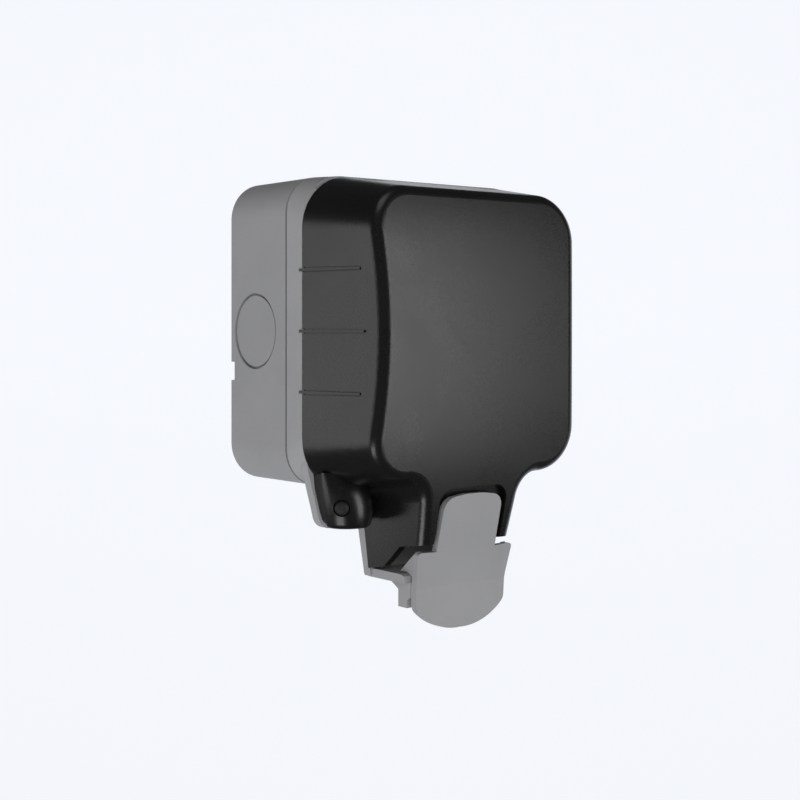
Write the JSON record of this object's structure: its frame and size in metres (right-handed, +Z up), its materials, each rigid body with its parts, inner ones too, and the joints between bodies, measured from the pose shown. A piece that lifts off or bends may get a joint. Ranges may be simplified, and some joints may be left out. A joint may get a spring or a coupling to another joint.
{
  "type": "weatherproof smart socket",
  "caption": "Wall-mounted weatherproof smart power socket with a top-hinged dark cover, a sealed cord outlet, a pivoting latch and a push button.",
  "frame": {"origin": "centre of the wall box's back face, on the wall", "axes": "+Y points into the wall, +Z up along the longest side, +X to the right seen from the front"},
  "size_m": [0.0992, 0.0743, 0.1461],
  "materials": {
    "box_grey": "fine matte moulded",
    "frame_grey": "fine matte moulded",
    "latch_grey": "fine matte moulded",
    "cover_black": "satin moulded",
    "seal_black": "soft matte",
    "face_white": "smooth moulded",
    "button_grey": "smooth moulded",
    "housing_dark": "moulded",
    "light_clear": "translucent",
    "shutter_white": "moulded",
    "contact_brass": "bright",
    "screw_steel": "bright zinc",
    "spring_steel": "drawn wire",
    "board_green": "lacquered laminate",
    "relay_blue": "moulded",
    "transformer_dark": "taped core",
    "capacitor_sleeve": "shrink sleeve",
    "module_can": "tinned can",
    "switch_black": "moulded"
  },
  "bodies": {
    "base": {"back_box": "box_grey", "box_gasket": "seal_black", "front_frame": "frame_grey", "hinge_pin": "screw_steel", "lid_seal": "seal_black", "frame_cord_seal": "seal_black", "latch_pin": "screw_steel", "socket_face": "face_white", "light_pipe": "light_clear", "module_housing": "housing_dark", "control_board": "board_green", "button_switch": "switch_black", "status_led": "light_clear", "contact_carrier": "housing_dark", "shutter_spring": "spring_steel", "live_contact": "contact_brass", "neutral_contact": "contact_brass", "earth_contact": "contact_brass", "terminal_screws": "screw_steel", "circuit_board": "board_green", "relay": "relay_blue", "transformer": "transformer_dark", "smoothing_capacitor": "capacitor_sleeve", "radio_module": "module_can", "housing_screws": "screw_steel", "plate_screws": "screw_steel", "frame_screws": "screw_steel"},
    "lid": {"cover": "cover_black", "hood_cord_seal": "seal_black"},
    "latch": {"latch": "latch_grey"},
    "button": {"power_button": "button_grey"},
    "pin_shutter": {"shutter": "shutter_white"}
  },
  "joints": [
    {"name": "lid_hinge", "type": "hinge", "parent": "base", "child": "lid", "pos_m": [0, -0.0466, 0.0457], "axis": [-1, 0, 0], "range_deg": [0, 110]},
    {"name": "latch_hinge", "type": "hinge", "parent": "base", "child": "latch", "pos_m": [0, -0.0564, -0.0854], "axis": [1, 0, 0], "range_deg": [0, 75]},
    {"name": "button_press", "type": "slide", "parent": "base", "child": "button", "axis": [0, 1, 0], "range_m": [0, 0.001], "stiffness_N_per_m": 500, "springref_m": -0.0004},
    {"name": "shutter_slide", "type": "slide", "parent": "base", "child": "pin_shutter", "axis": [0, 0, -1], "range_m": [0, 0.0063], "stiffness_N_per_m": 60, "springref_m": -0.002, "deforming": ["shutter_spring"]}
  ]
}
